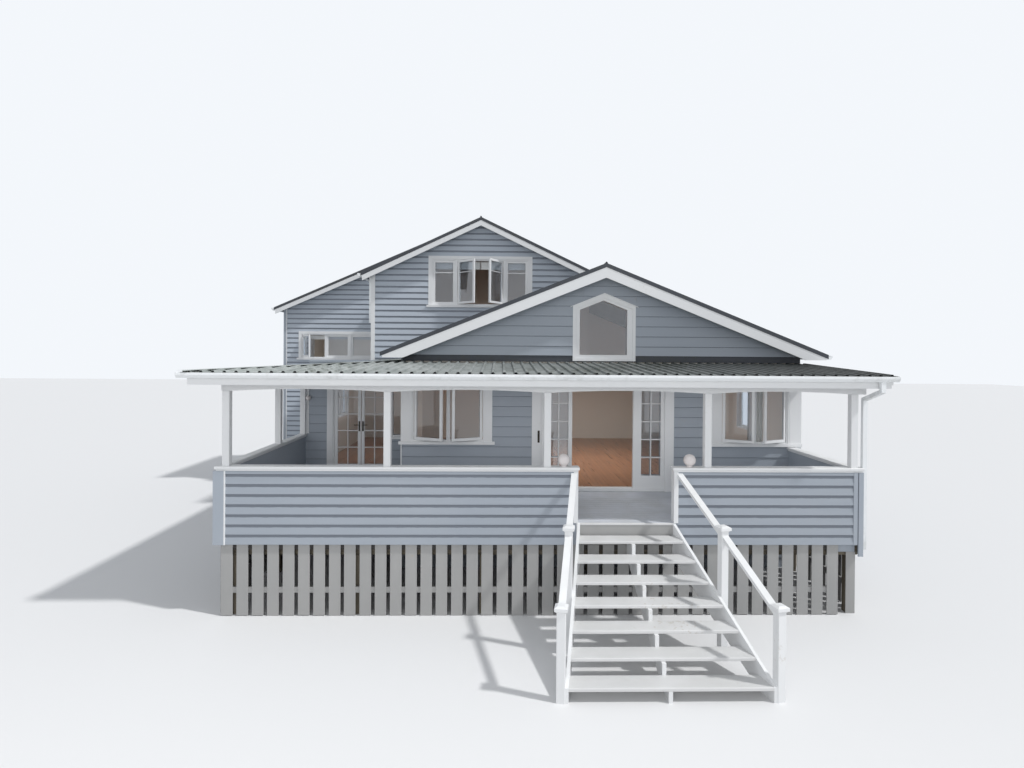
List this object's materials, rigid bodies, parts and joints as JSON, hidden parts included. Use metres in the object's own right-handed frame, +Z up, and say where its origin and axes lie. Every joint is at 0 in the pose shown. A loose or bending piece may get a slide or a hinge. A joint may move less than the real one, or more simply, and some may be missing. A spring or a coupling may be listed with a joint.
{
  "type": "beach house with veranda",
  "caption": "Timber beach house on piles with a clad veranda, flared front stair, stepped gables, sliding main doors and hinged side doors.",
  "frame": {"origin": "centre of the bounding box at ground level", "axes": "+X to the right seen from the front stair, +Y from the stair to the back, +Z up; the house is longest along Y and least high along Z"},
  "size_m": [13.067, 15.294, 8.0022],
  "materials": {
    "timber": "treated timber",
    "boards": "painted weatherboard, satin grey",
    "slats": "painted timber, satin warm grey",
    "white_paint": "painted timber, satin white",
    "decking": "weathered timber",
    "dark_iron": "long run roofing, satin charcoal",
    "grey_iron": "long run roofing, weathered",
    "white_metal": "gutter, satin white",
    "floor_timber": "polished timber",
    "glass": "clear glass",
    "lamp": "opal glass"
  },
  "bodies": {
    "house": {"deck_piles": "timber", "deck_bearers": "timber", "deck_joists": "timber", "base_slats": "slats", "deck": "decking", "stair_stringers": "white_paint", "stair_treads": "white_paint", "stair_newels": "white_paint", "stair_handrails": "white_paint", "balustrade_left": "boards", "balustrade_right": "boards", "balustrade_caps": "white_paint", "veranda_posts": "white_paint", "veranda_beam": "white_paint", "veranda_roof": "grey_iron", "veranda_fascia": "white_paint", "gutters": "white_metal", "downpipes": "white_metal", "front_wall_left": "boards", "front_wall_right": "boards", "walls_at_doors": "boards", "recess_walls": "boards", "front_gable_wall": "boards", "left_walls": "boards", "right_walls": "boards", "middle_gable_wall": "boards", "rear_gable_wall": "boards", "back_walls": "boards", "corner_boards": "white_paint", "floors": "floor_timber", "front_roof": "dark_iron", "middle_roof": "dark_iron", "rear_roof": "dark_iron", "ridge_caps": "dark_iron", "bargeboards": "white_paint", "pentagon_window": "white_paint", "front_windows": "white_paint", "upper_window": "white_paint", "side_windows": "white_paint", "ground_glass": "glass", "upper_glass": "glass", "door_frames": "white_paint", "door_side_panels": "white_paint", "veranda_lights": "lamp"},
    "sliding_leaf_left": {"sliding_leaf_left": "white_paint", "sliding_glass_left": "glass"},
    "sliding_leaf_right": {"sliding_leaf_right": "white_paint", "sliding_glass_right": "glass"},
    "french_leaf_left": {"french_leaf_left": "white_paint", "french_glass_left": "glass"},
    "french_leaf_right": {"french_leaf_right": "white_paint", "french_glass_right": "glass"}
  },
  "joints": [
    {"name": "left_door_slide", "type": "slide", "parent": "house", "child": "sliding_leaf_left", "axis": [1, 0, 0], "range_m": [0, 0.583]},
    {"name": "right_door_slide", "type": "slide", "parent": "house", "child": "sliding_leaf_right", "axis": [-1, 0, 0], "range_m": [0, 0.583]},
    {"name": "left_french_door_hinge", "type": "hinge", "parent": "house", "child": "french_leaf_left", "pos_m": [-3.2675, -1.452, 1.508], "axis": [0, 0, -1], "range_deg": [0, 90]},
    {"name": "right_french_door_hinge", "type": "hinge", "parent": "house", "child": "french_leaf_right", "pos_m": [-2.1135, -1.452, 1.508], "axis": [0, 0, 1], "range_deg": [0, 90]}
  ]
}
